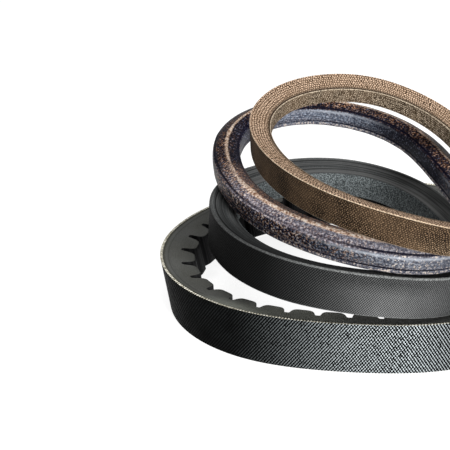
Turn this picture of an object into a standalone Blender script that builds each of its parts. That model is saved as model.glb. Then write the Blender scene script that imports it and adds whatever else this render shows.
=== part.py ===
"""Four endless drive belts, each built from its real layers, laid one on another in a leaning stack.

From the floor up: a raw-edge cogged V-belt, taken as a C section, a wrapped V-belt near B, a hexagonal
double-V belt near AA and a fabric-wrapped V-belt near A. Lengths are metres, +Z is up and the cogged
belt's raw edge stands on z = 0.
"""

import math
from dataclasses import dataclass

import bmesh
import bpy
import numpy as np
from mathutils import Vector

# ---- Driving dimensions ----

LAYER_GAP = 0.0003  # free space between layers that touch
CORD_GAP = 0.00045  # free space between a cord and the rubber beside it
CORD_TURNS = 3
CORD_POINTS = 36  # points in one turn of a cord
COVER_SEAM = 0.0008  # slit between the two edges of a wrapped cover

COG_COUNT = 36
COG_PHASE = 0.86  # place of the first notch, in cogs
COG_NOTCH_DEPTH = 0.0056
COG_PITCH_DEPTH = 0.0041  # the cogs are evenly spaced along the cord
# Outline of one cog: (part of a pitch, part of the notch depth)
COG_OUTLINE = ((0.06, 0.0), (0.11, 0.58), (0.24, 1.0), (0.76, 1.0), (0.89, 0.58), (0.94, 0.0))


@dataclass(frozen=True)
class Belt:
    """One belt: its section, its loop seen from above and the gently curved sheet that it lies along."""

    name: str
    width: float  # across the outer face, or across the ridges of the hexagonal belt
    depth: float  # outer face to inner face
    flank: float  # half width that a side loses per metre of depth
    semi_x: float
    semi_y: float
    turn: float  # of the oval about the vertical
    egg: tuple  # third harmonic of the oval, cosine and sine
    square: tuple  # fourth harmonic of the oval, cosine and sine
    centre: tuple  # of the loop, at half the belt's width
    slope: tuple = (0.0, 0.0)  # rise per metre along X and along Y
    curl: float = 0.0  # height that the end at -X gains or loses over the slope
    cant: float = 0.0  # most that the outer face leans in at its foot, radians
    cant_place: float = 0.0  # angle round the loop where it leans most
    sections: int = 48  # along a smooth loop

    def plan(self, angle):
        """Point of the outer face, from the loop's centre, seen from above."""
        phase = angle - self.turn
        oval = self.semi_x * self.semi_y / math.hypot(
            self.semi_y * math.cos(phase), self.semi_x * math.sin(phase)
        )
        egg = self.egg[0] * math.cos(3 * phase) + self.egg[1] * math.sin(3 * phase)
        square = self.square[0] * math.cos(4 * phase) + self.square[1] * math.sin(4 * phase)
        radius = oval * (1 + egg + square)
        return radius * math.cos(angle), radius * math.sin(angle)

    def sheet(self, x, y):
        """Height of the sheet that the belt lies along, and the direction square to it."""
        bend = min(x - 0.25 * self.semi_x, 0.0) / self.semi_x
        height = self.slope[0] * x + self.slope[1] * y + self.curl * bend * bend
        rise = self.slope[0] + 2 * self.curl * bend / self.semi_x
        return height, Vector((-rise, -self.slope[1], 1.0)).normalized()

    def frame(self, angle):
        """Middle of the outer face, the outward direction and the direction across the belt."""
        x, y = self.plan(angle)
        ahead = self.plan(angle + 0.001)
        behind = self.plan(angle - 0.001)
        height, across = self.sheet(x, y)
        outward = Vector((ahead[1] - behind[1], behind[0] - ahead[0], 0.0))
        outward = (outward - outward.dot(across) * across).normalized()
        lean = self.cant * max(math.cos(angle - self.cant_place), 0.0) ** 2
        sine, cosine = math.sin(lean), math.cos(lean)
        base = Vector((x, y, height)) - (outward * sine + across * (1 - cosine)) * self.width / 2
        return base, outward * cosine - across * sine, outward * sine + across * cosine

    def half_width(self, depth):
        return self.width / 2 - self.flank * depth

    def section(self, angle, profile):
        """A profile of (depth, height) points, placed across the belt at one angle."""
        base, outward, across = self.frame(angle)
        return [base - outward * depth + across * height for depth, height in profile]

    def angles(self, parts, depth=0.0):
        """Angles that stand at the given parts of the loop's length, measured at a depth."""
        fine = np.linspace(0.0, 2 * math.pi, 1441)
        frames = [self.frame(angle) for angle in fine]
        points = np.array([base - outward * depth for base, outward, across in frames])
        steps = np.linalg.norm(np.diff(points, axis=0), axis=1)
        length = np.concatenate([[0.0], np.cumsum(steps)]) / steps.sum()
        parts = np.asarray(parts)
        return np.interp(parts % 1.0, length, fine) + 2 * math.pi * np.floor(parts)


COGGED = Belt(
    name="cogged_belt",
    width=0.022, depth=0.014, flank=0.33,
    semi_x=0.0853, semi_y=0.0609, turn=0.05, egg=(-0.005, -0.004), square=(-0.003, 0.014),
    centre=(0.0004, -0.0059, 0.0110), cant=0.285, cant_place=2.49, sections=96,
)
WRAPPED = Belt(
    name="wrapped_belt",
    width=0.0173, depth=0.0111, flank=0.35,
    semi_x=0.0544, semi_y=0.0558, turn=-0.33, egg=(0.006, -0.038), square=(0.012, -0.015),
    centre=(-0.0092, -0.0138, 0.03315), slope=(-0.166, -0.046), curl=-0.0026,
)
HEX = Belt(
    name="hex_belt",
    width=0.0122, depth=0.0108, flank=0.39,
    semi_x=0.0510, semi_y=0.0673, turn=0.34, egg=(-0.026, 0.019), square=(-0.009, 0.015),
    centre=(-0.0088, 0.0028, 0.04951), slope=(-0.084, 0.057), curl=-0.0017,
)
BROWN = Belt(
    name="brown_belt",
    width=0.012, depth=0.0082, flank=0.38,
    semi_x=0.0482, semi_y=0.0526, turn=0.46, egg=(-0.010, 0.035), square=(-0.009, 0.016),
    centre=(0.0021, -0.0134, 0.06606), slope=(-0.287, 0.139), curl=-0.0065,
)


# ---- Scene and material helpers ----


def clear_scene():
    for obj in list(bpy.data.objects):
        bpy.data.objects.remove(obj, do_unlink=True)


def make_material(name, colour, roughness):
    material = bpy.data.materials.new(name)
    material.use_nodes = True
    shader = material.node_tree.nodes["Principled BSDF"]
    shader.inputs["Base Color"].default_value = (*colour, 1.0)
    shader.inputs["Roughness"].default_value = roughness
    shader.inputs["Metallic"].default_value = 0.0
    material.diffuse_color = (*colour, 1.0)
    return material


def make_holder(belt, collection):
    """The empty at a belt's centre, which carries the belt's layers and lifts straight up."""
    holder = bpy.data.objects.new(belt.name + "_holder", None)
    holder.location = belt.centre
    collection.objects.link(holder)
    return holder


def add_layer(obj, name, holder, collection, colour, roughness):
    obj.name = name
    obj.parent = holder
    obj.data.materials.append(make_material(name, colour, roughness))
    collection.objects.link(obj)


# ---- Shapes ----


def loft(sections):
    """A closed ring through sections of equal count, whose last joins its first."""
    shape = bmesh.new()
    rings = [[shape.verts.new(point) for point in section] for section in sections]
    for ring, following in zip(rings, rings[1:] + rings[:1]):
        for i in range(len(ring)):
            j = (i + 1) % len(ring)
            shape.faces.new((ring[i], ring[j], following[j], following[i]))
    bmesh.ops.recalc_face_normals(shape, faces=shape.faces)
    mesh = bpy.data.meshes.new("loft")
    shape.to_mesh(mesh)
    shape.free()
    mesh.shade_smooth()
    mesh.set_sharp_from_angle(angle=math.radians(35))
    return bpy.data.objects.new("loft", mesh)


def ring(belt, profile):
    """The same profile carried round the whole loop."""
    angles = belt.angles(np.arange(belt.sections) / belt.sections)
    return loft([belt.section(angle, profile) for angle in angles])


def slab(belt, top, bottom, inset=0.0):
    """Profile of a layer between two depths, whose sides follow the V at an inset."""
    wide = belt.half_width(top) - inset
    narrow = belt.half_width(bottom) - inset
    return [(top, wide), (top, -wide), (bottom, -narrow), (bottom, narrow)]


def wrapped_profile(belt, cloth):
    """Profile of a cover round a V section, open along a seam on the inner face."""
    side = cloth * math.hypot(1.0, belt.flank)
    last = belt.depth - cloth
    seam = COVER_SEAM / 2
    half = [
        (belt.depth, seam),
        (belt.depth, belt.half_width(belt.depth)),
        (0.0, belt.half_width(0.0)),
    ]
    lining = [
        (cloth, belt.half_width(cloth) - side),
        (last, belt.half_width(last) - side),
        (last, seam),
    ]
    mirrored = [(depth, -height) for depth, height in reversed(half)]
    mirrored_lining = [(depth, -height) for depth, height in reversed(lining)]
    return half + mirrored + mirrored_lining + lining


def hex_half_width(belt, depth):
    """Half width of the hexagonal section, which is widest at half its depth."""
    return belt.width / 2 - belt.flank * abs(belt.depth / 2 - depth)


def hex_slab(belt, top, bottom, inset):
    wide = hex_half_width(belt, top) - inset
    narrow = hex_half_width(belt, bottom) - inset
    return [(top, wide), (top, -wide), (bottom, -narrow), (bottom, narrow)]


def hex_cover_profile(belt, cloth):
    """Profile of a cover round the hexagonal section, open along a seam on the inner face."""
    side = cloth * math.hypot(1.0, belt.flank)
    last = belt.depth - cloth
    seam = COVER_SEAM / 2
    half = [
        (belt.depth, seam),
        (belt.depth, hex_half_width(belt, belt.depth)),
        (belt.depth / 2, belt.width / 2),
        (0.0, hex_half_width(belt, 0.0)),
    ]
    lining = [
        (cloth, hex_half_width(belt, cloth) - side),
        (belt.depth / 2, belt.width / 2 - side),
        (last, hex_half_width(belt, last) - side),
        (last, seam),
    ]
    mirrored = [(depth, -height) for depth, height in reversed(half)]
    mirrored_lining = [(depth, -height) for depth, height in reversed(lining)]
    return half + mirrored + mirrored_lining + lining


def cord(belt, depth, diameter, spread):
    """One tension cord, wound side by side round the loop from one edge of the belt to the other."""
    count = CORD_TURNS * CORD_POINTS
    curve = bpy.data.curves.new("cord", "CURVE")
    curve.dimensions = "3D"
    curve.bevel_depth = diameter / 2
    curve.bevel_resolution = 1
    curve.use_fill_caps = True
    spline = curve.splines.new("POLY")
    spline.points.add(count)
    for i, angle in enumerate(belt.angles(np.arange(count + 1) / CORD_POINTS)):
        base, outward, across = belt.frame(angle)
        point = base - outward * depth + across * spread * (2 * i / count - 1)
        spline.points[i].co = (*point, 1.0)
    return bpy.data.objects.new("cord", curve)


def cog_body(belt, top):
    """The compression rubber: a smooth outer side, and cogs cut across the inner side."""
    floor = belt.depth - COG_NOTCH_DEPTH
    parts, depths = [], []
    for cog in range(COG_COUNT):
        for part, rise in COG_OUTLINE:
            parts.append((cog + part + COG_PHASE) / COG_COUNT)
            depths.append(floor + COG_NOTCH_DEPTH * rise)
    angles = belt.angles(parts, COG_PITCH_DEPTH)
    return loft([belt.section(angle, slab(belt, top, depth)) for angle, depth in zip(angles, depths)])


# ---- The belts ----


def build_cogged_belt(belt, collection):
    """Raw-edge belt: backing fabric, cushion rubber on both sides of the cord, and the cogs."""
    holder = make_holder(belt, collection)
    fabric, cushion_end, cord_size = 0.0013, 0.0031, 0.0012
    cord_depth = cushion_end + CORD_GAP + cord_size / 2
    inner_start = cord_depth + cord_size / 2 + CORD_GAP
    inner_end = inner_start + 0.0011

    half = belt.width / 2
    backing = ring(belt, [(0.0, half), (0.0, -half), (fabric, -half), (fabric, half)])
    add_layer(backing, "cogged_belt_backing_fabric", holder, collection, (0.10, 0.10, 0.085), 0.85)
    outer = ring(belt, slab(belt, fabric + LAYER_GAP, cushion_end))
    add_layer(outer, "cogged_belt_outer_cushion_rubber", holder, collection, (0.045, 0.045, 0.045), 0.6)
    wire = cord(belt, cord_depth, cord_size, belt.half_width(cord_depth) - 0.0022)
    add_layer(wire, "cogged_belt_tension_cord", holder, collection, (0.55, 0.50, 0.40), 0.7)
    inner = ring(belt, slab(belt, inner_start, inner_end))
    add_layer(inner, "cogged_belt_inner_cushion_rubber", holder, collection, (0.04, 0.04, 0.04), 0.6)
    cogs = cog_body(belt, inner_end + LAYER_GAP)
    add_layer(cogs, "cogged_belt_cog_body", holder, collection, (0.03, 0.03, 0.032), 0.55)


def build_wrapped_belt(belt, collection, cloth, layers, colours):
    """Wrapped V-belt: cover, top rubber, cord, cushion rubber and base rubber.

    layers holds the depths where the top rubber ends, the cord's size and where the cushion ends.
    """
    holder = make_holder(belt, collection)
    top_end, cord_size, cushion_end = layers
    inset = (cloth + LAYER_GAP) * math.hypot(1.0, belt.flank)
    cord_depth = top_end + CORD_GAP + cord_size / 2
    cushion_start = cord_depth + cord_size / 2 + CORD_GAP
    base_end = belt.depth - cloth - LAYER_GAP

    cover = ring(belt, wrapped_profile(belt, cloth))
    add_layer(cover, belt.name + "_cover", holder, collection, colours["cover"], 0.75)
    top = ring(belt, slab(belt, cloth + LAYER_GAP, top_end, inset))
    add_layer(top, belt.name + "_top_rubber", holder, collection, colours["rubber"], 0.6)
    wire = cord(belt, cord_depth, cord_size, belt.half_width(cord_depth) - inset - cord_size)
    add_layer(wire, belt.name + "_tension_cord", holder, collection, colours["cord"], 0.7)
    cushion = ring(belt, slab(belt, cushion_start, cushion_end, inset))
    add_layer(cushion, belt.name + "_cushion_rubber", holder, collection, colours["rubber"], 0.6)
    base = ring(belt, slab(belt, cushion_end + LAYER_GAP, base_end, inset))
    add_layer(base, belt.name + "_base_rubber", holder, collection, colours["rubber"], 0.6)


def build_hex_belt(belt, collection):
    """Double-V belt: a cover round two like halves, with the cord at the middle of its depth."""
    holder = make_holder(belt, collection)
    cloth, cord_size, cushion_size = 0.0008, 0.0010, 0.0010
    rubber = (0.05, 0.05, 0.055)
    inset = (cloth + LAYER_GAP) * math.hypot(1.0, belt.flank)
    middle = belt.depth / 2

    cover = ring(belt, hex_cover_profile(belt, cloth))
    add_layer(cover, "hex_belt_cover", holder, collection, (0.20, 0.20, 0.27), 0.7)
    wire = cord(belt, middle, cord_size, belt.width / 2 - inset - cord_size)
    add_layer(wire, "hex_belt_tension_cord", holder, collection, (0.60, 0.56, 0.48), 0.7)
    for side, sign in (("outer", -1), ("inner", 1)):
        start = middle + sign * (cord_size / 2 + CORD_GAP)
        cushion_end = start + sign * cushion_size
        core_start = cushion_end + sign * LAYER_GAP
        core_end = middle + sign * (middle - cloth - LAYER_GAP)
        cushion = ring(belt, hex_slab(belt, *sorted((start, cushion_end)), inset))
        add_layer(cushion, f"hex_belt_{side}_cushion_rubber", holder, collection, rubber, 0.6)
        core = ring(belt, hex_slab(belt, *sorted((core_start, core_end)), inset))
        add_layer(core, f"hex_belt_{side}_core_rubber", holder, collection, rubber, 0.6)


def main():
    clear_scene()
    collection = bpy.data.collections.new("v_belt_stack")
    bpy.context.scene.collection.children.link(collection)
    charcoal = {"cover": (0.055, 0.06, 0.062), "rubber": (0.04, 0.04, 0.042), "cord": (0.62, 0.58, 0.50)}
    tan = {"cover": (0.33, 0.23, 0.15), "rubber": (0.05, 0.045, 0.04), "cord": (0.75, 0.62, 0.25)}
    build_cogged_belt(COGGED, collection)
    build_wrapped_belt(WRAPPED, collection, 0.0009, (0.0032, 0.0011, 0.0067), charcoal)
    build_hex_belt(HEX, collection)
    build_wrapped_belt(BROWN, collection, 0.0008, (0.0022, 0.0009, 0.0050), tan)


main()
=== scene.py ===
"""Looks of the leaning stack of four drive belts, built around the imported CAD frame."""

import math

import bpy
import numpy as np
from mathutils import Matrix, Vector


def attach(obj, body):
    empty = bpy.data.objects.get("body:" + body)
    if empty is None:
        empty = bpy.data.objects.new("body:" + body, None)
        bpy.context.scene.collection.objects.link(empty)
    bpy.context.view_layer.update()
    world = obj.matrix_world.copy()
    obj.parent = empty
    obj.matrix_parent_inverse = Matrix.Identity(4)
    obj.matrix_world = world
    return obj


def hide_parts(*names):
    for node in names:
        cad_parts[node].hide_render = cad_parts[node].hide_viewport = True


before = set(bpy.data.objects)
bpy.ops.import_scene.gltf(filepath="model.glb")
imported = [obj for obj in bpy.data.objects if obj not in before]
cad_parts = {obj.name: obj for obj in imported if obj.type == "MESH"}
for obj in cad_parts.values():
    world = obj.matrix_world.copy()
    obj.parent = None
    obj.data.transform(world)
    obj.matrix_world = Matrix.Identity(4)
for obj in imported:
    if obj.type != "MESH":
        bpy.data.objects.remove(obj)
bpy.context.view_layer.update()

MM = 0.001
SMALL_ANGLE = 0.001
LENGTH_POINTS = 2881  # places from which a loop's length is measured
STATIONS = 600  # sections along a smooth loop
CORNER_POINTS = 7  # points round a corner of a section
SHARP_ANGLE = math.radians(48)

# ---- Loops, with the same driving dimensions as the CAD ----


class Loop:
    """One belt's loop: where its outer face runs, and the sheet it lies along."""

    def __init__(
        self, width, depth, flank, semi, turn, egg, square, centre,
        slope=(0.0, 0.0), curl=0.0, cant=0.0, cant_place=0.0,
    ):
        self.width, self.depth, self.flank = width, depth, flank
        self.semi, self.turn, self.egg, self.square = semi, turn, egg, square
        self.centre, self.slope, self.curl = np.array(centre), slope, curl
        self.cant, self.cant_place = cant, cant_place

    def plan(self, angle):
        """X and Y of the outer face's middle, at an angle round the loop."""
        phase = angle - self.turn
        reach_x, reach_y = self.semi
        oval = reach_x * reach_y / np.hypot(reach_y * np.cos(phase), reach_x * np.sin(phase))
        egg = self.egg[0] * np.cos(3 * phase) + self.egg[1] * np.sin(3 * phase)
        square = self.square[0] * np.cos(4 * phase) + self.square[1] * np.sin(4 * phase)
        radius = oval * (1 + egg + square)
        return radius * np.cos(angle), radius * np.sin(angle)

    def frames(self, angle):
        """Middle of the outer face, outward direction and direction across, as arrays of points."""
        x, y = self.plan(angle)
        ahead, behind = self.plan(angle + SMALL_ANGLE), self.plan(angle - SMALL_ANGLE)
        bend = np.minimum(x - 0.25 * self.semi[0], 0.0) / self.semi[0]
        height = self.slope[0] * x + self.slope[1] * y + self.curl * bend * bend
        rise = self.slope[0] + 2 * self.curl * bend / self.semi[0]
        across = np.stack([-rise, np.full_like(x, -self.slope[1]), np.ones_like(x)], axis=1)
        across /= np.linalg.norm(across, axis=1)[:, None]
        outward = np.stack([ahead[1] - behind[1], behind[0] - ahead[0], np.zeros_like(x)], axis=1)
        outward -= (outward * across).sum(1)[:, None] * across
        outward /= np.linalg.norm(outward, axis=1)[:, None]
        lean = (self.cant * np.maximum(np.cos(angle - self.cant_place), 0.0) ** 2)[:, None]
        base = np.stack([x, y, height], axis=1) + self.centre
        base = base - (outward * np.sin(lean) + across * (1 - np.cos(lean))) * self.width / 2
        leaning_out = outward * np.cos(lean) - across * np.sin(lean)
        leaning_across = outward * np.sin(lean) + across * np.cos(lean)
        return base, leaning_out, leaning_across

    def angles(self, parts, depth=0.0):
        """Angles of the places that lie at these parts of the loop's length, measured at a depth."""
        fine = np.linspace(0.0, 2 * math.pi, LENGTH_POINTS)
        base, outward, _ = self.frames(fine)
        steps = np.linalg.norm(np.diff(base - outward * depth, axis=0), axis=1)
        length = np.concatenate([[0.0], np.cumsum(steps)]) / steps.sum()
        parts = np.asarray(parts)
        return np.interp(parts % 1.0, length, fine) + 2 * math.pi * np.floor(parts)

    def length(self):
        """Length of the outer face's middle line."""
        base, _, _ = self.frames(np.linspace(0.0, 2 * math.pi, LENGTH_POINTS))
        return np.linalg.norm(np.diff(base, axis=0), axis=1).sum()

    def half_width(self, depth):
        """Half the width of a V section at a depth."""
        return self.width / 2 - self.flank * depth

    def hex_half_width(self, depth):
        """Half the width of a hexagonal section at a depth."""
        return self.width / 2 - self.flank * abs(self.depth / 2 - depth)


COGGED = Loop(
    0.022, 0.014, 0.33, (0.0853, 0.0609), 0.05, (-0.005, -0.004), (-0.003, 0.014),
    (0.0004, -0.0059, 0.0110), cant=0.285, cant_place=2.49,
)
WRAPPED = Loop(
    0.0173, 0.0111, 0.35, (0.0544, 0.0558), -0.33, (0.006, -0.038), (0.012, -0.015),
    (-0.0092, -0.0138, 0.03315), (-0.166, -0.046), -0.0026,
)
HEX = Loop(
    0.0122, 0.0108, 0.39, (0.0510, 0.0673), 0.34, (-0.026, 0.019), (-0.009, 0.015),
    (-0.0088, 0.0028, 0.04951), (-0.084, 0.057), -0.0017,
)
BROWN = Loop(
    0.012, 0.0082, 0.38, (0.0482, 0.0526), 0.46, (-0.010, 0.035), (-0.009, 0.016),
    (0.0021, -0.0134, 0.06606), (-0.287, 0.139), -0.0065,
)

COG_COUNT = 36
COG_PHASE = 0.86
COG_NOTCH_DEPTH = 0.0056
COG_PITCH_DEPTH = 0.0041
COG_CHAMFER = 0.00025

# Radius inside the covers, heights of the hexagonal cover's creases, and distance of the woven
# cover's lapped edge from its inner face.
LINING_RADIUS = 0.0002
LOWER_CREASE, UPPER_CREASE = -0.00215, 0.00405
LAP_FROM_INNER = 0.00075

# ---- Section outlines ----


def outline(corners, spacing=0.0007):
    """Closed outline through (depth, height, radius) corners, rounded and evenly filled with points."""
    points = []
    count = len(corners)
    places = [np.array(c[:2], float) for c in corners]
    for i, here in enumerate(places):
        radius = corners[i][2]
        before = places[i - 1] - here
        after = places[(i + 1) % count] - here
        start = here + before / np.linalg.norm(before) * min(radius, 0.48 * np.linalg.norm(before))
        end = here + after / np.linalg.norm(after) * min(radius, 0.48 * np.linalg.norm(after))
        if points:
            points += fill(points[-1], start, spacing)
        if radius > 0:
            for t in np.linspace(0.0, 1.0, CORNER_POINTS):
                points.append((1 - t) ** 2 * start + 2 * t * (1 - t) * here + t * t * end)
        else:
            points.append(here)
    points += fill(points[-1], points[0], spacing)
    return np.array(points)


def fill(start, end, spacing):
    """Even points between two places, without the places themselves."""
    steps = int(np.linalg.norm(end - start) / spacing)
    return [start + (end - start) * i / (steps + 1) for i in range(1, steps + 1)]


def outline_normals(points):
    """Unit normals of a closed outline in (depth, height), pointing out of the section."""
    along = np.roll(points, -1, axis=0) - np.roll(points, 1, axis=0)
    normals = np.stack([along[:, 1], -along[:, 0]], axis=1)
    normals /= np.linalg.norm(normals, axis=1)[:, None] + 1e-12
    middle = points.mean(0)
    if ((points - middle) * normals).sum() < 0:
        normals = -normals
    return normals


def groove(position, centre, half_size, size):
    """Depth of a smooth groove at each position."""
    return -size * np.exp(-(((position - centre) / half_size) ** 2))


def wander(parts, seed, terms=9, lowest=2):
    """A smooth, closed irregularity round the loop, about -1 to 1."""
    random = np.random.default_rng(seed)
    total = np.zeros_like(parts)
    for k in range(terms):
        wave = lowest + k * 3
        total += random.normal() * np.cos(2 * math.pi * (wave * parts + random.random())) / (1 + 0.4 * k)
    return total / (np.abs(total).max() + 1e-9)


# ---- Meshes ----


def sweep(name, loop, sections, parts, body, pitch_depth=0.0, lining=None):
    """A ring through one section per station, with a second ring inside it if there is a lining.

    The UV map 'run' holds the way round the loop and round the section, in millimetres. The attribute
    'section' holds the depth and the height of each point in millimetres, and 'side' its share of
    outer face, flank and inner face.
    """
    angles = loop.angles(parts, pitch_depth)
    base, outward, across = loop.frames(angles)
    meshes = [(np.asarray(sections), False)]
    if lining is not None:
        meshes.append((np.asarray(lining), True))
    verts, faces, uvs, section_data, side_data = [], [], [], [], []
    total_length = loop.length() / MM
    offset = 0
    for shape, inward in meshes:
        if shape.ndim == 2:
            shape = np.repeat(shape[None], len(parts), axis=0)
        n, m = shape.shape[:2]
        place = base[:, None] - outward[:, None] * shape[..., :1] + across[:, None] * shape[..., 1:]
        verts.append(place.reshape(-1, 3))
        section_data.append(np.concatenate([shape / MM, np.zeros((n, m, 1))], axis=-1).reshape(-1, 3))
        normals = np.stack([outline_normals(s) for s in shape])
        inner, flank = np.clip(normals[..., 0], 0, 1), np.abs(normals[..., 1])
        outer = np.clip(-normals[..., 0], 0, 1)
        side_data.append(np.stack([outer, flank, inner, np.ones((n, m))], axis=-1).reshape(-1, 4))
        gaps = np.linalg.norm(np.roll(shape, -1, axis=1) - shape, axis=-1).mean(0)
        around = np.concatenate([[0.0], np.cumsum(gaps)]) / MM
        i, j = np.meshgrid(np.arange(n), np.arange(m), indexing="ij")
        i2, j2 = (i + 1) % n, (j + 1) % m
        quads = np.stack([i * m + j, i2 * m + j, i2 * m + j2, i * m + j2], axis=-1).reshape(-1, 4) + offset
        u0 = parts[i] * total_length
        u1 = np.concatenate([parts[1:], [parts[0] + 1.0]])[i] * total_length
        v0, v1 = around[j], around[j + 1]
        uv = np.stack([np.stack(pair, -1) for pair in ((u0, v0), (u1, v0), (u1, v1), (u0, v1))], axis=-2)
        if inward:
            quads = quads[:, ::-1]
            uv = uv[..., ::-1, :]
        faces.append(quads)
        uvs.append(uv.reshape(-1, 2))
        offset += n * m
    verts = np.concatenate(verts)
    faces = np.concatenate(faces)
    mesh = bpy.data.meshes.new(name)
    mesh.vertices.add(len(verts))
    mesh.vertices.foreach_set("co", verts.astype(np.float32).ravel())
    mesh.loops.add(faces.size)
    mesh.loops.foreach_set("vertex_index", faces.astype(np.int32).ravel())
    mesh.polygons.add(len(faces))
    mesh.polygons.foreach_set("loop_start", np.arange(0, faces.size, 4, dtype=np.int32))
    mesh.polygons.foreach_set("loop_total", np.full(len(faces), 4, dtype=np.int32))
    mesh.update(calc_edges=True)
    layer = mesh.uv_layers.new(name="run")
    layer.data.foreach_set("uv", np.concatenate(uvs).astype(np.float32).ravel())
    section = mesh.attributes.new("section", "FLOAT_VECTOR", "POINT")
    section.data.foreach_set("vector", np.concatenate(section_data).astype(np.float32).ravel())
    side = mesh.color_attributes.new("side", "FLOAT_COLOR", "POINT")
    side.data.foreach_set("color", np.concatenate(side_data).astype(np.float32).ravel())
    mesh.shade_smooth()
    mesh.set_sharp_from_angle(angle=SHARP_ANGLE)
    mesh.validate()
    obj = bpy.data.objects.new(name, mesh)
    bpy.context.scene.collection.objects.link(obj)
    face_out(obj)
    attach(obj, body)
    return obj


def face_out(obj):
    """Turns the faces round if the closed mesh is inside out."""
    mesh = obj.data
    mesh.calc_loop_triangles()
    points = np.empty(len(mesh.vertices) * 3, np.float32)
    mesh.vertices.foreach_get("co", points)
    points = points.reshape(-1, 3).astype(float)
    tris = np.empty(len(mesh.loop_triangles) * 3, np.int32)
    mesh.loop_triangles.foreach_get("vertices", tris)
    corners = points[tris.reshape(-1, 3)]
    if np.einsum("ij,ij->i", corners[:, 0], np.cross(corners[:, 1], corners[:, 2])).sum() < 0:
        mesh.flip_normals()


# ---- Shader building ----


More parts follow.
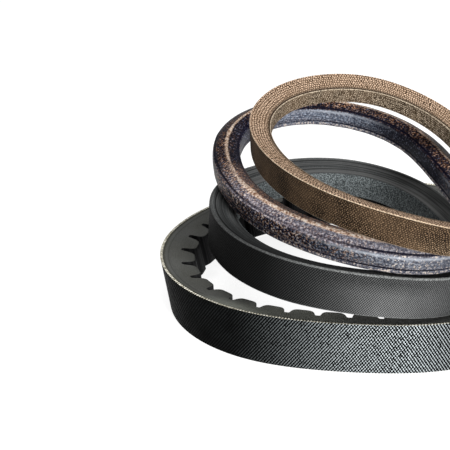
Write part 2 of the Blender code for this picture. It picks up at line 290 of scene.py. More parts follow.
class Shader:
    """A node material, with short calls for the nodes that the belts use."""

    def __init__(self, name):
        self.material = bpy.data.materials.new(name)
        self.material.use_nodes = True
        self.tree = self.material.node_tree
        self.bsdf = self.tree.nodes["Principled BSDF"]

    def node(self, kind, **settings):
        """A new node with these settings."""
        made = self.tree.nodes.new(kind)
        for key, value in settings.items():
            setattr(made, key, value)
        return made

    def put(self, socket, value):
        """Links another node's output to a socket, or sets a constant."""
        if isinstance(value, bpy.types.NodeSocket):
            self.tree.links.new(value, socket)
        else:
            socket.default_value = value

    def math(self, operation, a, b=0.0, c=0.0):
        made = self.node("ShaderNodeMath", operation=operation)
        for socket, value in zip(made.inputs, (a, b, c)):
            self.put(socket, value)
        return made.outputs[0]

    def times(self, product, *values):
        """Product of all the values."""
        for value in values:
            product = self.math("MULTIPLY", product, value)
        return product

    def less(self, share):
        """What a share leaves of 1."""
        return self.math("SUBTRACT", 1.0, share)

    def pair(self, vector):
        """The first two parts of a vector."""
        split = self.node("ShaderNodeSeparateXYZ")
        self.put(split.inputs[0], vector)
        return split.outputs[0], split.outputs[1]

    def along(self):
        """Millimetres round the loop."""
        return self.pair(self.node("ShaderNodeUVMap", uv_map="run").outputs[0])[0]

    def section(self):
        """Depth and height in the section, in millimetres."""
        return self.pair(self.node("ShaderNodeAttribute", attribute_name="section").outputs["Vector"])

    def sides(self):
        """Shares of outer face, flank and inner face."""
        split = self.node("ShaderNodeSeparateColor")
        self.put(split.inputs[0], self.node("ShaderNodeAttribute", attribute_name="side").outputs["Color"])
        return split.outputs[0], split.outputs[1], split.outputs[2]

    def place(self):
        """The place in the part's frame, in metres."""
        return self.node("ShaderNodeTexCoord").outputs["Object"]

    def places(self):
        """The place along X and Y, in metres."""
        return self.pair(self.place())

    def ring_place(self, loop, along, across):
        """Coordinates that close on themselves round the loop, scaled along it and across it."""
        depth, height = self.section()
        turn = self.times(self.along(), 2 * math.pi * MM / loop.length())
        radius = loop.length() / MM / (2 * math.pi) * along
        join = self.node("ShaderNodeCombineXYZ")
        flat = self.times(self.math("COSINE", turn), radius)
        self.put(join.inputs[0], self.math("ADD", self.times(height, across), flat))
        self.put(join.inputs[1], self.times(self.math("SINE", turn), radius))
        self.put(join.inputs[2], self.times(depth, across))
        return join.outputs[0]

    def noise(self, vector, scale, detail=2.0, roughness=0.5):
        made = self.node("ShaderNodeTexNoise")
        self.put(made.inputs["Vector"], vector)
        made.inputs["Scale"].default_value = scale
        made.inputs["Detail"].default_value = detail
        made.inputs["Roughness"].default_value = roughness
        return made.outputs["Fac"]

    def range(self, value, low, high, to_low=0.0, to_high=1.0):
        """The value taken from one range to another, and held at the ends."""
        made = self.node("ShaderNodeMapRange", clamp=True)
        self.put(made.inputs["Value"], value)
        for key, number in (("From Min", low), ("From Max", high), ("To Min", to_low), ("To Max", to_high)):
            made.inputs[key].default_value = number
        return made.outputs[0]

    def ramp(self, value, stops):
        """Colours at these values, blended evenly from one to the next."""
        made = self.node("ShaderNodeValToRGB")
        elements = made.color_ramp.elements
        while len(elements) < len(stops):
            elements.new(0.5)
        for element, (position, colour) in zip(elements, stops):
            element.position = position
            element.color = (*colour, 1.0)
        self.put(made.inputs[0], value)
        return made.outputs[0]

    def mix(self, factor, a, b):
        """From a at 0 to b at 1."""
        made = self.node("ShaderNodeMix", data_type="RGBA")
        self.put(made.inputs[0], factor)
        for socket, value in ((made.inputs[6], a), (made.inputs[7], b)):
            self.put(socket, (*value, 1.0) if isinstance(value, tuple) else value)
        return made.outputs[2]

    def line(self, value, centre, half_size):
        """1 on a line at a place, falling to 0 at half_size from it."""
        away = self.math("ABSOLUTE", self.math("SUBTRACT", value, centre))
        return self.range(away, 0.0, half_size, 1.0, 0.0)

    def stripes(self, phase):
        """A rounded stripe for each whole number of the phase, 0 to 1."""
        wave = self.math("COSINE", self.times(phase, 2 * math.pi))
        return self.math("MULTIPLY_ADD", wave, 0.5, 0.5)

    def per_millimetre(self, loop, pitch):
        """Threads of about this pitch for each millimetre, a whole number of them round the loop."""
        return round(loop.length() / MM / pitch) * MM / loop.length()

    def phase(self, loop, pitch, lean, height):
        """Counts threads of a pitch in millimetres, which lean by that share of the height."""
        moved = self.math("MULTIPLY_ADD", height, -lean, self.along())
        return self.times(moved, self.per_millimetre(loop, pitch))

    def weave(self, loop, pitch, lean, height):
        """Relief of two sets of threads that pass over and under each other, and of each set alone."""
        first = self.phase(loop, pitch, lean, height)
        second = self.phase(loop, pitch, -lean, height)
        over = [self.math("COSINE", self.times(phase, math.pi)) for phase in (first, second)]
        over = self.math("MULTIPLY_ADD", self.times(*over), 0.5, 0.5)
        rising, falling = self.stripes(first), self.stripes(second)
        relief = self.math("ADD", self.times(rising, over), self.times(falling, self.less(over)))
        return relief, rising, falling

    def bricks(self, loop, pitch, row_size, shift, across):
        """Short stitches in rows round the loop, each row moved along from the one before, 0 to 1."""
        pull = self.math("SUBTRACT", self.noise(self.place(), 520.0, 1.0), 0.5)
        across = self.math("MULTIPLY_ADD", pull, ROW_PULL, across)
        row = self.math("FLOOR", self.math("DIVIDE", across, row_size))
        along = self.times(self.along(), self.per_millimetre(loop, pitch))
        along = self.math("MULTIPLY_ADD", row, shift, along)
        along = self.math("MULTIPLY_ADD", pull, STITCH_PULL, along)
        stitch = self.stripes(along)
        middle = self.math("SUBTRACT", self.math("FRACT", self.math("DIVIDE", across, row_size)), 0.5)
        thread = self.range(self.math("ABSOLUTE", middle), 0.22, 0.5, 1.0, 0.0)
        return self.times(self.range(stitch, 0.05, 0.6), thread)

    def finish(self, colour, roughness, height=None, bump=0.0, **fixed):
        """The material, with a relief as deep as bump in millimetres, and any other fixed inputs."""
        self.put(self.bsdf.inputs["Base Color"], colour)
        self.put(self.bsdf.inputs["Roughness"], roughness)
        if height is not None:
            made = self.node("ShaderNodeBump")
            made.inputs["Strength"].default_value = 1.0
            made.inputs["Distance"].default_value = bump * MM
            self.put(made.inputs["Height"], height)
            self.put(self.bsdf.inputs["Normal"], made.outputs[0])
        for key, value in fixed.items():
            self.bsdf.inputs[key.replace("_", " ")].default_value = value
        return self.material


# ---- Materials ----

# In a material, x and y are metres from the middle of the stack, and depth and height are millimetres in
# the belt's section. Depth starts at the outer face, and height at the middle of the belt's width.

# Thread and row sizes in millimetres. A lean is millimetres along the belt for each one of height, and a
# shift is the share of a stitch by which each row moves along.
BACKING_PITCH, BACKING_LEAN, EDGE_PITCH, MOULD_PITCH = 1.18, 0.66, 1.15, 0.85
WRAPPED_PITCH, WRAPPED_LEAN = 0.92, 0.72
CHECK_PITCH, CHECK_ROW, CHECK_SHIFT = 0.92, 0.76, 0.5
STITCH_PITCH, STITCH_ROW, STITCH_SHIFT = 1.12, 0.96, 0.36
ROW_PULL, STITCH_PULL = 0.9, 1.6  # how far uneven pull moves a row in millimetres, and a stitch in stitches

# Colour ramps, each as stops: a value from 0 to 1 and its linear colour.
BACKING = {
    "cloth": (
        (0.10, (0.0006, 0.0007, 0.0008)), (0.35, (0.006, 0.0064, 0.0068)), (0.75, (0.034, 0.038, 0.039)),
    ),
    "edge": ((0.15, (0.13, 0.125, 0.095)), (0.5, (0.50, 0.47, 0.37)), (0.9, (0.95, 0.92, 0.82))),
}
CHARCOAL = {
    "face": ((0.15, (0.006, 0.006, 0.0065)), (0.5, (0.036, 0.037, 0.037)), (0.9, (0.112, 0.114, 0.114))),
    "light": ((0.15, (0.030, 0.030, 0.031)), (0.85, (0.270, 0.273, 0.273))),
    "dark": ((0.2, (0.0010, 0.0010, 0.0010)), (0.9, (0.010, 0.010, 0.010))),
    "side": ((0.36, (0.030, 0.031, 0.031)), (0.5, (0.066, 0.068, 0.068)), (0.64, (0.125, 0.127, 0.126))),
    "speck": ((0.36, (0.028, 0.033, 0.035)), (0.5, (0.092, 0.104, 0.107)), (0.64, (0.25, 0.28, 0.285))),
    "wear_and_sheen": ((0.32, (0.060, 0.062, 0.062)), (0.62, (0.30, 0.31, 0.305))),
}
VIOLET = {
    "navy": ((0.44, (0.0010, 0.0011, 0.004)), (0.57, (0.007, 0.008, 0.020)), (0.68, (0.15, 0.16, 0.22))),
    "mauve": ((0.34, (0.035, 0.030, 0.045)), (0.5, (0.165, 0.150, 0.180)), (0.64, (0.47, 0.44, 0.48))),
    "slate": ((0.34, (0.010, 0.012, 0.020)), (0.5, (0.062, 0.074, 0.098)), (0.66, (0.25, 0.28, 0.33))),
    "blue": ((0.36, (0.060, 0.070, 0.100)), (0.5, (0.150, 0.175, 0.225)), (0.64, (0.34, 0.375, 0.45))),
    "brown": ((0.38, (0.05, 0.018, 0.008)), (0.5, (0.36, 0.17, 0.09)), (0.64, (0.85, 0.56, 0.38))),
    "front_brown": ((0.38, (0.18, 0.085, 0.045)), (0.5, (0.62, 0.38, 0.25)), (0.60, (0.95, 0.84, 0.74))),
    "even": ((0.34, (0.052, 0.055, 0.070)), (0.5, (0.105, 0.110, 0.132)), (0.66, (0.24, 0.245, 0.27))),
    "smooth": ((0.34, (0.060, 0.064, 0.088)), (0.5, (0.135, 0.145, 0.185)), (0.66, (0.26, 0.275, 0.33))),
    "rust": ((0.42, (0.018, 0.008, 0.010)), (0.52, (0.075, 0.036, 0.028)), (0.60, (0.50, 0.26, 0.15))),
    "wear_and_sheen": ((0.40, (0.22, 0.10, 0.05)), (0.52, (0.80, 0.58, 0.42)), (0.64, (0.95, 0.90, 0.82))),
    "pale": ((0.38, (0.03, 0.03, 0.045)), (0.52, (0.17, 0.17, 0.205)), (0.62, (0.70, 0.60, 0.52))),
}
TAN = {
    "face": ((0.05, (0.004, 0.0025, 0.0015)), (0.38, (0.027, 0.0165, 0.008)), (0.95, (0.175, 0.113, 0.066))),
    "painted_light_lower_right": ((0.05, (0.030, 0.020, 0.011)), (0.40, (0.165, 0.115, 0.070)), (0.85, (0.60, 0.46, 0.31))),
    "side": ((0.14, (0.010, 0.005, 0.002)), (0.42, (0.19, 0.112, 0.065)), (0.85, (0.74, 0.53, 0.38))),
    "inner": ((0.05, (0.020, 0.013, 0.007)), (0.35, (0.125, 0.092, 0.060)), (0.8, (0.47, 0.375, 0.275))),
    "edge": ((0.35, (0.40, 0.29, 0.19)), (0.6, (0.82, 0.68, 0.50))),
}


def backing_fabric():
    """Rubbered bias weave on the outer face, with the pale cut edge of the cloth at the sides."""
    s = Shader("backing_fabric")
    depth, height = s.section()
    _, flank, _ = s.sides()
    x, _ = s.places()
    weave, rising, falling = s.weave(COGGED, BACKING_PITCH, BACKING_LEAN, height)
    # Painted highlight: one set of threads is made the bright one at the left and the other at the right,
    # standing in for each set catching the light in turn.
    share = s.range(x, -0.024, 0.026, 0.10, 0.94)
    crown = s.math("ADD", s.times(rising, s.less(share)), s.times(falling, share))
    crossing = s.range(weave, 0.0, 1.0, 0.45, 1.0)
    grain = s.noise(s.place(), 2300.0)
    thread = s.times(crown, crossing, s.range(grain, 0.30, 0.70, 0.40, 1.45))
    cloth = s.ramp(thread, BACKING["cloth"])

    # Painted light: the threads get a painted highlight and painted glints towards the right, and painted
    # shade darkens them at the left.
    painted_light = s.math("POWER", s.range(x, -0.058, 0.010), 1.7)
    patches = s.noise(s.place(), 130.0, 3.0)
    dark = s.times(s.range(patches, 0.35, 0.7, 0.72, 0.95), s.less(painted_light))
    cloth = s.mix(dark, cloth, (0.0016, 0.0017, 0.0016))
    glint = s.times(s.range(thread, 0.42, 0.54), painted_light, s.range(x, -0.012, 0.034, 0.85, 0.12))
    cloth = s.mix(glint, cloth, (0.80, 0.88, 0.90))

    stitch = s.stripes(s.phase(COGGED, EDGE_PITCH, 0.0, 0.0))
    uneven = s.range(s.noise(s.place(), 900.0), 0.3, 0.65, 0.35, 1.0)
    edge = s.ramp(s.times(uneven, s.range(stitch, 0.1, 0.7, 0.35, 1.0)), BACKING["edge"])
    edge = s.mix(s.range(depth, 0.80, 1.15), edge, (0.062, 0.063, 0.054))
    colour = s.mix(s.range(flank, 0.45, 0.75), cloth, edge)
    rough = s.range(thread, 0.2, 0.8, 0.60, 0.30)
    relief = s.math("ADD", s.times(crown, crossing), s.times(grain, 0.3))
    return s.finish(colour, rough, relief, 0.22, Specular_IOR_Level=0.01)


def side_rubber(name, bands):
    """Ground raw-edge rubber, with the thin lines of the layers that show at the sides."""
    s = Shader(name)
    depth, _ = s.section()
    _, flank, inner = s.sides()
    x, y = s.places()
    grain = s.noise(s.place(), 1900.0, 3.0)
    cloud = s.noise(s.place(), 48.0)
    scratch = s.noise(s.ring_place(COGGED, 0.25, 5.0), 1.0, 3.0)
    ground = s.ramp(cloud, ((0.36, (0.078, 0.079, 0.070)), (0.62, (0.105, 0.107, 0.101))))
    ground = s.mix(s.range(scratch, 0.4, 0.7, 0.0, 0.30), ground, (0.13, 0.132, 0.127))
    for centre, half_size, shade, share in bands:
        ground = s.mix(s.times(s.line(depth, centre, half_size), share), ground, shade)
    ground = s.mix(s.range(grain, 0.35, 0.7, 0.0, 0.22), ground, (0.016, 0.016, 0.015))
    # Painted sheen: the ground sides are made lighter at the front left.
    wear_and_sheen = s.times(s.range(y, -0.042, -0.050), s.range(x, -0.010, -0.024))
    ground = s.mix(s.times(wear_and_sheen, 0.85), ground, (0.200, 0.208, 0.180))

    # Only the sides are ground. The faces between the cogs keep the dark skin and stripes of the mould.
    is_ground = s.math("MAXIMUM", s.range(flank, 0.72, 0.92), s.range(depth, 7.0, 7.6, 1.0, 0.0))
    colour = s.mix(is_ground, (0.0035, 0.0035, 0.0038), ground)
    moulded = s.stripes(s.phase(COGGED, MOULD_PITCH, 0.0, 0.0))
    colour = s.mix(s.times(moulded, inner, 0.55), colour, (0.020, 0.020, 0.021))
    relief = s.math("ADD", s.times(grain, 0.4), s.times(moulded, inner, 0.9))
    rough = s.range(grain, 0.3, 0.7, 0.50, 0.66)
    return s.finish(colour, rough, relief, 0.09, Specular_IOR_Level=0.06)


def charcoal_cover():
    """Charcoal wrapped cover: fine bias weave on the outer face, drawn lines along the flanks."""
    s = Shader("charcoal_cover")
    depth, height = s.section()
    outer, flank, inner = s.sides()
    x, y = s.places()
    _, rising, falling = s.weave(WRAPPED, WRAPPED_PITCH, WRAPPED_LEAN, height)
    grain = s.noise(s.place(), 2100.0, 3.0)
    cloud = s.noise(s.place(), 60.0, 3.0)
    hatch = s.math("ADD", s.times(rising, 0.7), s.times(falling, 0.3))

    face = s.ramp(s.times(hatch, s.range(grain, 0.25, 0.75, 0.7, 1.2)), CHARCOAL["face"])
    # Painted highlight on the outer face towards the right, with painted shade keeping it darker under the
    # top edge.
    light = s.times(s.line(x, -0.004, 0.028), s.range(height, 5.5, 0.5), 0.55)
    face = s.mix(light, face, s.ramp(hatch, CHARCOAL["light"]))
    # Painted shade: the outer face is darker towards the left.
    face = s.mix(s.range(x, -0.045, -0.004, 1.0, 0.0), face, s.ramp(hatch, CHARCOAL["dark"]))

    drawn = s.noise(s.ring_place(WRAPPED, 0.010, 1.0), 1.8)
    side = s.ramp(drawn, CHARCOAL["side"])
    # Painted shade: the flanks are darker towards the front.
    side = s.mix(s.range(y, -0.006, -0.034, 0.0, 0.75), side, (0.008, 0.008, 0.008))
    speck = s.ramp(grain, CHARCOAL["speck"])
    # Painted shade: the inner face is darker towards the right.
    speck = s.mix(s.range(x, 0.005, 0.040, 0.0, 0.85), speck, (0.014, 0.014, 0.014))

    colour = s.mix(s.range(flank, 0.35, 0.8), face, side)
    colour = s.mix(s.range(inner, 0.3, 0.8), colour, speck)
    colour = s.mix(s.range(cloud, 0.3, 0.75, 0.0, 0.35), colour, (0.010, 0.011, 0.011))
    band = s.times(s.line(depth, 9.3, 1.3), flank, s.range(y, -0.006, 0.010), 0.6)
    colour = s.mix(band, colour, (0.165, 0.167, 0.165))
    # The lighter bead along the outer edge is worn cloth plus a painted highlight on the rounded edge.
    bead = s.line(s.math("ADD", depth, s.times(outer, 0.5)), 0.75, 1.0)
    bead = s.times(bead, s.range(flank, 0.15, 0.5), s.range(x, -0.052, -0.010, 0.25, 0.9))
    colour = s.mix(bead, colour, s.ramp(grain, CHARCOAL["wear_and_sheen"]))
    # Painted shade in the groove beside the bead.
    colour = s.mix(s.times(s.line(depth, 2.35, 0.45), flank, 0.8), colour, (0.004, 0.004, 0.004))
    relief = s.math("ADD", s.times(hatch, outer), s.times(grain, 0.6))
    rough = s.range(grain, 0.3, 0.7, 0.42, 0.60)
    return s.finish(colour, rough, relief, 0.12, Specular_IOR_Level=0.01)


def violet_cover():
    """Blue-grey rubbered cover with brown fibres showing through, with cream wear on its ridges."""
    s = Shader("violet_cover")
    depth, height = s.section()
    _, flank, _ = s.sides()
    x, y = s.places()
    grain = s.noise(s.place(), 1350.0, 2.0, 0.6)
    fleck = s.noise(s.place(), 1150.0, 2.0, 0.7)
    cloud = s.noise(s.place(), 75.0)
    drawn = s.noise(s.ring_place(HEX, 0.08, 1.1), 2.2, 3.0, 0.65)

    # Parts of the belt that look different: some with different wear, and some with painted light (front,
    # lit) or painted shade (back_right).
    flat = s.range(flank, 0.10, 0.75, 1.0, 0.0)
    front = s.range(y, 0.004, -0.026)
    lit = s.range(x, -0.034, -0.006)
    back_right = s.times(s.range(x, 0.0, 0.020), s.range(y, -0.015, 0.005))
    inside = s.times(s.range(depth, 5.7, 6.1), s.range(x, -0.030, -0.042), s.range(y, -0.012, 0.004))
    behind = s.math("MAXIMUM", s.times(s.range(y, 0.0, 0.015), flat), inside)

    # Rubber.
    navy = s.ramp(grain, VIOLET["navy"])
    # Painted shade: the slate of the outer face darkens towards the right.
    slate = s.mix(s.range(x, 0.008, 0.034, 0.0, 0.6), s.ramp(grain, VIOLET["slate"]), (0.045, 0.048, 0.062))
    # Painted light: the flanks at the front get a lighter mauve copy of the rubber and the lit flat faces a
    # lighter slate copy; elsewhere both stay navy.
    base = s.mix(s.times(s.less(flat), s.less(front)), s.ramp(grain, VIOLET["mauve"]), navy)
    base = s.mix(flat, base, s.mix(lit, navy, slate))
    # Painted shade: the back right is made navy.
    base = s.mix(s.times(back_right, 0.92), base, navy)
    # Painted highlight: the flat faces at the back left get a lighter blue copy of the rubber.
    painted_light = s.times(s.range(y, 0.010, 0.025), flat, s.range(x, 0.014, -0.006), 0.85)
    base = s.mix(painted_light, base, s.ramp(grain, VIOLET["blue"]))
    base = s.mix(s.times(inside, 0.85), base, navy)
    streak = s.times(s.range(drawn, 0.44, 0.60), s.range(back_right, 0.0, 1.0, 0.45, 0.95))
    base = s.mix(streak, base, (0.005, 0.005, 0.012))

    # Brown fibres.
    # Painted light: the fibres at the front get a lighter copy of their colour.
    brown = s.mix(front, s.ramp(grain, VIOLET["brown"]), s.ramp(grain, VIOLET["front_brown"]))
    dense = s.math("MAXIMUM", s.range(height, 4.3, 5.3, 0.25, 0.95), s.range(x, -0.046, -0.028, 0.45, 0.0))
    share = s.times(
        s.range(fleck, 0.53, 0.56),
        s.range(cloud, 0.38, 0.60, 0.35, 1.0),
        s.range(s.times(front, s.range(x, -0.030, 0.000)), 0.0, 1.0, 1.0, 0.40),
        s.mix(flat, dense, s.range(lit, 0.0, 1.0, 0.50, 0.30)),
        s.range(behind, 0.0, 1.0, 1.0, 0.25),
        s.range(s.times(back_right, flat), 0.0, 1.0, 1.0, 0.15),
    )
    colour = s.mix(share, base, brown)

    # The front is smoother, and its inner flank is rusty.
    calm = s.times(front, s.range(x, -0.020, 0.004), s.range(x, 0.012, 0.034, 1.0, 0.4), 0.60)
    even = s.mix(s.range(fleck, 0.60, 0.63), s.ramp(grain, VIOLET["even"]), (0.80, 0.70, 0.60))
    colour = s.mix(calm, colour, even)
    upper = s.times(s.range(height, 4.6, 5.2), s.range(x, -0.046, -0.030), front, 0.55)
    colour = s.mix(upper, colour, s.ramp(grain, VIOLET["smooth"]))
    inner_flank = s.times(s.range(depth, 5.5, 5.9), s.range(height, 1.5, 2.5))
    rusty = s.times(inner_flank, front, s.range(x, 0.006, -0.012), 0.9)
    colour = s.mix(rusty, colour, s.ramp(fleck, VIOLET["rust"]))

    # Cream wear on the ridge, pale lower edge, painted highlight, and creases painted dark as shade in their
    # grooves.
    ridge = s.range(s.math("ABSOLUTE", height), 5.78, 5.94)
    beside = s.times(s.range(height, 5.42, 5.62), s.range(depth, 5.75, 5.45))
    beside = s.times(beside, front, s.range(x, 0.008, -0.012))
    ridge = s.times(s.math("MAXIMUM", ridge, beside), 0.85)
    colour = s.mix(ridge, colour, s.ramp(fleck, VIOLET["wear_and_sheen"]))
    low = s.times(s.range(height, -2.4, -2.9), flat, s.range(x, -0.044, -0.024, 0.05, 1.0), 0.75)
    colour = s.mix(low, colour, s.ramp(fleck, VIOLET["pale"]))
    shine = s.times(s.line(height, 2.8, 0.85), flat, lit, 0.85)
    shine = s.times(shine, s.less(back_right), s.range(cloud, 0.30, 0.60, 0.30, 0.80))
    colour = s.mix(shine, colour, (0.45, 0.48, 0.53))
    faint = s.range(s.math("ABSOLUTE", s.math("ADD", x, 0.034)), 0.004, 0.024, 0.45, 1.0)
    for place, half_size in ((LOWER_CREASE, 0.42), (UPPER_CREASE, 0.40)):
        crease = s.range(s.line(height, place / MM, half_size), 0.15, 0.55)
        colour = s.mix(s.times(crease, faint, 0.96), colour, (0.002, 0.002, 0.009))
    shaded = s.times(front, flat, s.range(x, 0.002, 0.018, 0.0, 0.5))
    colour = s.mix(shaded, colour, (0.020, 0.021, 0.028))
    relief = s.math("ADD", grain, s.times(drawn, 1.2))
    rough = s.range(grain, 0.3, 0.7, 0.30, 0.52)
    return s.finish(colour, rough, relief, 0.12, Specular_IOR_Level=0.04)


def tan_cover():
    """Dry woven tan cover: rows of stitches along the flanks, a small check on the outer face."""
    s = Shader("tan_cover")
    depth, height = s.section()
    outer, flank, inner = s.sides()
    x, _ = s.places()
    grain = s.noise(s.place(), 1900.0, 2.0, 0.6)
    coarse = s.noise(s.place(), 950.0, 1.0)
    cloud = s.noise(s.place(), 80.0)

    check = s.bricks(BROWN, CHECK_PITCH, CHECK_ROW, CHECK_SHIFT, height)
    check = s.times(check, s.range(grain, 0.35, 0.65, 0.25, 1.35))
    face = s.ramp(check, TAN["face"])
    check = s.times(check, s.range(coarse, 0.38, 0.62, 0.45, 1.35))
    # Painted light: the outer face gets lighter towards the right and the bottom.
    painted_light_lower_right = s.times(s.range(x, 0.0, 0.040), s.range(height, 1.0, -4.0), 0.6)
    face = s.mix(painted_light_lower_right, face, s.ramp(check, TAN["painted_light_lower_right"]))
    # Painted shade: the outer face is darker towards the left.
    face = s.mix(s.range(x, -0.010, -0.034, 0.0, 0.45), face, (0.010, 0.006, 0.0035))

    rows = s.bricks(BROWN, STITCH_PITCH, STITCH_ROW, STITCH_SHIFT, depth)
    thread = s.times(s.math("MULTIPLY_ADD", rows, 0.85, 0.15), s.range(grain, 0.35, 0.65, 0.50, 1.28))
    colour = s.mix(s.range(flank, 0.35, 0.75), face, s.ramp(thread, TAN["side"]))
    colour = s.mix(s.range(inner, 0.3, 0.7), colour, s.ramp(check, TAN["inner"]))
    colour = s.mix(s.range(cloud, 0.38, 0.70, 0.0, 0.25), colour, (0.20, 0.125, 0.070))

    edge = s.times(s.line(depth, 0.25, 0.6), s.range(outer, 0.12, 0.4), s.range(flank, 0.2, 0.5, 0.0, 0.9))
    colour = s.mix(edge, colour, s.ramp(grain, TAN["edge"]))
    lap = (BROWN.depth - LAP_FROM_INNER) / MM
    upper = s.times(s.range(height, 0.5, 1.5), s.range(flank, 0.25, 0.6))
    # Painted shade: the flank darkens towards the lapped edge, and its groove is painted dark.
    colour = s.mix(s.times(s.line(depth, lap - 0.4, 1.6), upper, 0.45), colour, (0.085, 0.055, 0.032))
    colour = s.mix(s.times(s.line(depth, lap, 0.55), upper, 0.95), colour, (0.010, 0.007, 0.004))
    thin = s.times(s.line(depth, lap + 0.55, 0.20), s.range(grain, 0.40, 0.58, 0.25, 0.9), upper)
    colour = s.mix(thin, colour, (0.70, 0.60, 0.46))
    relief = s.mix(s.range(flank, 0.4, 0.7), check, thread)
    return s.finish(colour, 0.8, relief, 0.15, Specular_IOR_Level=0.08)


def core_rubber():
    """Plain black rubber for the layers inside the covers."""
    s = Shader("core_rubber")
    grain = s.noise(s.place(), 900.0, 4.0)
    colour = s.ramp(grain, ((0.3, (0.020, 0.020, 0.021)), (0.7, (0.055, 0.055, 0.055))))
    return s.finish(colour, s.range(grain, 0.3, 0.7, 0.5, 0.7), grain, 0.08)


def twisted_cord(name, dark, light):
    """Cord of plied yarns, seen as slanting strands."""
    s = Shader(name)
    wave = s.node("ShaderNodeTexWave", wave_type="BANDS", bands_direction="DIAGONAL")
    s.put(wave.inputs["Vector"], s.place())
    wave.inputs["Scale"].default_value = 900.0
    wave.inputs["Distortion"].default_value = 1.5
    grain = s.noise(s.place(), 2500.0)
    strands = s.times(wave.outputs["Fac"], s.range(grain, 0.2, 0.8, 0.6, 1.2))
    colour = s.ramp(strands, ((0.0, dark), (0.8, light)))
    return s.finish(colour, 0.75, wave.outputs["Fac"], 0.12)


# ---- Pieces ----


def v_corners(loop, outer_radius, inner_radius, cloth=0.0):
    """Corners of a V section, at a distance inside it."""
    side = cloth * math.hypot(1.0, loop.flank)
    top, bottom = cloth, loop.depth - cloth
    wide, narrow = loop.half_width(top) - side, loop.half_width(bottom) - side
    return [
        (top, wide, outer_radius), (top, -wide, outer_radius),
        (bottom, -narrow, inner_radius), (bottom, narrow, inner_radius),
    ]


def hex_corners(loop, face_radius, ridge_radius, cloth=0.0):
    """Corners of a hexagonal section, at a distance inside it."""
    side = cloth * math.hypot(1.0, loop.flank)
    top, bottom, middle = cloth, loop.depth - cloth, loop.depth / 2
    face = loop.hex_half_width(top) - side
    ridge = loop.width / 2 - side
    return [
        (top, face, face_radius), (top, -face, face_radius), (middle, -ridge, ridge_radius),
        (bottom, -face, face_radius), (bottom, face, face_radius), (middle, ridge, ridge_radius),
    ]


def cover(name, loop, corners, lining, body, node, material, relief):
    """A wrapped cover with its cloth's thickness, whose surface is moved by a relief in metres."""
    points = outline(corners)
    normals = outline_normals(points)
    parts = np.arange(STATIONS) / STATIONS
    moved = relief(parts, points, normals)
    sections = points[None] + normals[None] * moved[..., None]
    obj = sweep(name, loop, sections, parts, body, lining=outline(lining, 0.003))
    obj.data.materials.append(material)
    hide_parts(node)


def wrapped_relief(parts, points, normals):
    """A bead beside the outer edges, shallow drawn lines on the flanks and a crowned outer face."""
    depth, height = points[:, 0], points[:, 1]
    outer = np.clip(-normals[:, 0], 0, 1)
    flank = np.abs(normals[:, 1])
    crown = -0.00012 * outer * np.clip(1 - (height / 0.0075) ** 2, 0, 1)
    rim = groove(depth, 0.0022, 0.00035, 0.00016) * flank
    rim = rim + groove(np.abs(height), 0.0072, 0.0004, 0.00010) * outer
    lines = sum(groove(depth, at, 0.00022, 0.00011) for at in (0.0038, 0.0054, 0.0071, 0.0088)) * flank
    uneven = wander(parts, 3)[:, None] * 0.00006
    return np.minimum(uneven + (crown + rim + lines)[None], 0.0001)


def hex_relief(parts, points, normals):
    """The creases of the lapped cover beside both flat faces, which swell a little between them."""
    height = points[:, 1]
    face = np.abs(normals[:, 0]) > 0.8
    swell = 0.00040 * np.where(face, np.clip(1 - ((height - 0.0009) / 0.0034) ** 2, 0, 1), 0)
    crease = np.where(face, groove(height, LOWER_CREASE, 0.00035, 0.00045), 0)
    rim = groove(height, UPPER_CREASE, 0.00030, 0.00028)
    uneven = wander(parts, 5)[:, None] * 0.00008 + wander(parts, 6, 14, 30)[:, None] * 0.00004
    return uneven + (swell + crease + rim)[None]


def tan_relief(parts, points, normals):
    """The lapped edge of the cover beside the inner face, and rows of stitches along the flanks."""
    depth, height = points[:, 0], points[:, 1]
    flank = np.abs(normals[:, 1])
    lap = np.where(height > 0, groove(depth, BROWN.depth - LAP_FROM_INNER, 0.00024, 0.00030), 0)
    rows = 0.00003 * np.cos(2 * math.pi * depth / 0.0010) * flank
    uneven = wander(parts, 8)[:, None] * 0.00006
    return uneven + (lap + rows)[None]


def cog_sections(start):
    """Stations and sections of the compression rubber, with rounded cogs and narrow round notches."""
    # The first half of one cog: a share of the pitch, and how far the rubber rises there.
    half = (
        (0.0, 0.0), (0.045, 0.0), (0.070, 0.03), (0.087, 0.12), (0.100, 0.26), (0.113, 0.42), (0.133, 0.58),
        (0.163, 0.73), (0.200, 0.85), (0.245, 0.93), (0.295, 0.975), (0.35, 0.995), (0.42, 1.0),
    )
    pitch = half + ((0.5, 1.0),) + tuple((1.0 - share, rise) for share, rise in reversed(half[1:]))
    floor = COGGED.depth - COG_NOTCH_DEPTH
    parts, sections = [], []
    for cog in range(COG_COUNT):
        for share, rise in pitch:
            parts.append((cog + share + COG_PHASE) / COG_COUNT)
            bottom = floor + COG_NOTCH_DEPTH * rise
            flank_end = bottom - COG_CHAMFER
            wide, narrow = COGGED.half_width(start), COGGED.half_width(flank_end)
            steps = np.linspace(0.0, 1.0, 9)
            flank = [(start + (flank_end - start) * t, wide + (narrow - wide) * t) for t in steps]
            across = [(bottom, COGGED.half_width(bottom) * t) for t in np.linspace(0.965, -0.965, 12)]
            other_flank = [(depth, -height) for depth, height in reversed(flank)]
            sections.append(flank + across + other_flank)
    return np.array(parts), np.array(sections)


def slab_outline(top, bottom, radius=0.0001):
    """One layer of the cogged belt, from one depth to another."""
    wide, narrow = COGGED.half_width(top), COGGED.half_width(bottom)
    places = ((top, wide), (top, -wide), (bottom, -narrow), (bottom, narrow))
    return outline([(depth, height, radius) for depth, height in places], 0.0008)


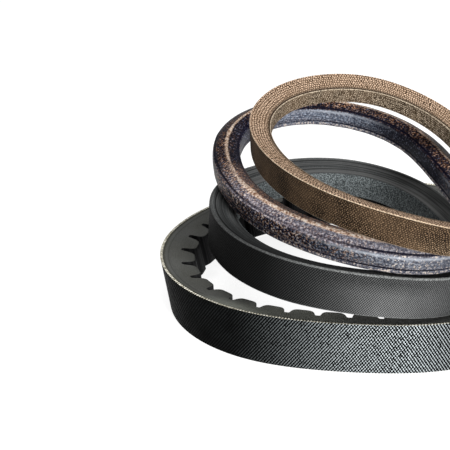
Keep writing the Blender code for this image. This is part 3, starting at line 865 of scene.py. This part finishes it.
def build_cogged():
    """The cogged belt's layers, from the backing to the cogs."""
    parts = np.arange(STATIONS) / STATIONS
    half = COGGED.width / 2
    fabric_end, cord_line, cog_start = 0.0014, 0.0041, 0.0062
    olive, dark, pale = (0.060, 0.060, 0.045), (0.014, 0.014, 0.014), (0.115, 0.117, 0.112)
    # Each band on the sides: depth and half size in millimetres, colour, and how much of it shows.
    bands = (
        (1.6, 0.40, olive, 0.8), (2.5, 0.35, pale, 0.45), (3.3, 0.35, dark, 0.45),
        (4.2, 0.5, pale, 0.30), (5.6, 0.5, pale, 0.2),
    )
    rubber = side_rubber("ground_rubber", bands)
    inset = half - 0.0004
    cloth = outline([
        (0.0, half, 0.0002), (0.0, -half, 0.0002), (fabric_end, -inset, 0.0001), (fabric_end, inset, 0.0001),
    ], 0.0006)
    outer, inner = slab_outline(fabric_end, cord_line), slab_outline(cord_line, cog_start)
    layers = (
        ("cogged_belt_backing_cloth", "cogged_belt_backing_fabric", cloth, backing_fabric(), "backing_cloth"),
        ("cogged_belt_outer_cushion", "cogged_belt_outer_cushion_rubber", outer, rubber, "black_rubber"),
        ("cogged_belt_inner_cushion", "cogged_belt_inner_cushion_rubber", inner, rubber, "black_rubber"),
    )
    for name, node, shape, material, slot in layers:
        obj = sweep(name, COGGED, shape, parts, "cogged_belt")
        obj.data.materials.append(material)
        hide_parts(node)
    cog_parts, sections = cog_sections(cog_start)
    cogs = sweep("cogged_belt_cogs", COGGED, sections, cog_parts, "cogged_belt", COG_PITCH_DEPTH)
    cogs.data.materials.append(rubber)
    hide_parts("cogged_belt_cog_body")


def build_covers():
    """The three wrapped belts' covers."""
    cover(
        "wrapped_belt_cloth", WRAPPED,
        v_corners(WRAPPED, 0.0015, 0.0010), v_corners(WRAPPED, LINING_RADIUS, LINING_RADIUS, 0.0009),
        "wrapped_belt", "wrapped_belt_cover", charcoal_cover(), wrapped_relief,
    )
    cover(
        "hex_belt_cloth", HEX,
        hex_corners(HEX, 0.0008, 0.0009), hex_corners(HEX, LINING_RADIUS, LINING_RADIUS, 0.0008),
        "hex_belt", "hex_belt_cover", violet_cover(), hex_relief,
    )
    cover(
        "brown_belt_cloth", BROWN,
        v_corners(BROWN, 0.0007, 0.0005), v_corners(BROWN, LINING_RADIUS, LINING_RADIUS, 0.0008),
        "brown_belt", "brown_belt_cover", tan_cover(), tan_relief,
    )


def finish_nodes():
    """Materials for the CAD nodes that stay: cords and the rubber inside the covers."""
    rubber = core_rubber()
    polyester = twisted_cord("polyester_cord", (0.22, 0.19, 0.13), (0.62, 0.58, 0.48))
    aramid = twisted_cord("aramid_cord", (0.35, 0.25, 0.06), (0.80, 0.66, 0.26))
    for name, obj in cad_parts.items():
        if name == "brown_belt_tension_cord":
            material = aramid
        elif name.endswith("tension_cord"):
            material = polyester
        else:
            material = rubber
        obj.data.materials.clear()
        obj.data.materials.append(material)


# ---- Floor, light and camera ----


def build_stage():
    """A white floor and surroundings, a low key light at the front and a soft one above."""
    mesh = bpy.data.meshes.new("floor")
    reach = 4.0
    corners = [(-reach, -reach, 0), (reach, -reach, 0), (reach, reach, 0), (-reach, reach, 0)]
    mesh.from_pydata(corners, [], [(0, 1, 2, 3)])
    floor = bpy.data.objects.new("floor", mesh)
    floor.location.z = -0.00005
    bpy.context.scene.collection.objects.link(floor)
    s = Shader("pale_floor")
    s.bsdf.inputs["Emission Color"].default_value = (1.0, 1.0, 1.0, 1.0)
    s.bsdf.inputs["Emission Strength"].default_value = 0.86
    s.finish((0.30, 0.30, 0.30, 1.0), 0.9)
    mesh.materials.append(s.material)

    world = bpy.data.worlds.new("studio")
    bpy.context.scene.world = world
    world.use_nodes = True
    background = world.node_tree.nodes["Background"]
    background.inputs["Color"].default_value = (1.0, 1.0, 1.0, 1.0)
    background.inputs["Strength"].default_value = 0.26

    for name, place, size, power in (
        ("key_light", (0.40, -0.84, 0.34), 0.35, 14.0),
        ("top_light", (-0.10, 0.05, 0.95), 0.6, 4.2),
    ):
        lamp = bpy.data.lights.new(name, "AREA")
        lamp.shape = "DISK"
        lamp.size = size
        lamp.energy = power
        obj = bpy.data.objects.new(name, lamp)
        obj.location = place
        obj.rotation_euler = (Vector((0.0, 0.0, 0.03)) - Vector(place)).to_track_quat("-Z", "Y").to_euler()
        bpy.context.scene.collection.objects.link(obj)


def build_camera():
    """The camera fitted to the belts' edges in the photo."""
    camera = bpy.data.objects.new("camera", bpy.data.cameras.new("camera"))
    camera.data.sensor_width = 36.0
    camera.data.lens = 68.05
    camera.data.shift_x = 0.0202
    camera.data.shift_y = 0.1710
    camera.data.clip_start = 0.01
    camera.data.dof.use_dof = False
    camera.location = (-0.0622, -0.3152, 0.1990)
    camera.rotation_euler = (math.radians(56.34), 0.0, 0.0)
    camera.rotation_euler.rotate_axis("Z", math.radians(-0.77))
    bpy.context.scene.collection.objects.link(camera)
    bpy.context.scene.camera = camera


build_cogged()
build_covers()
finish_nodes()
build_stage()
build_camera()
bpy.context.scene.view_settings.view_transform = "Standard"
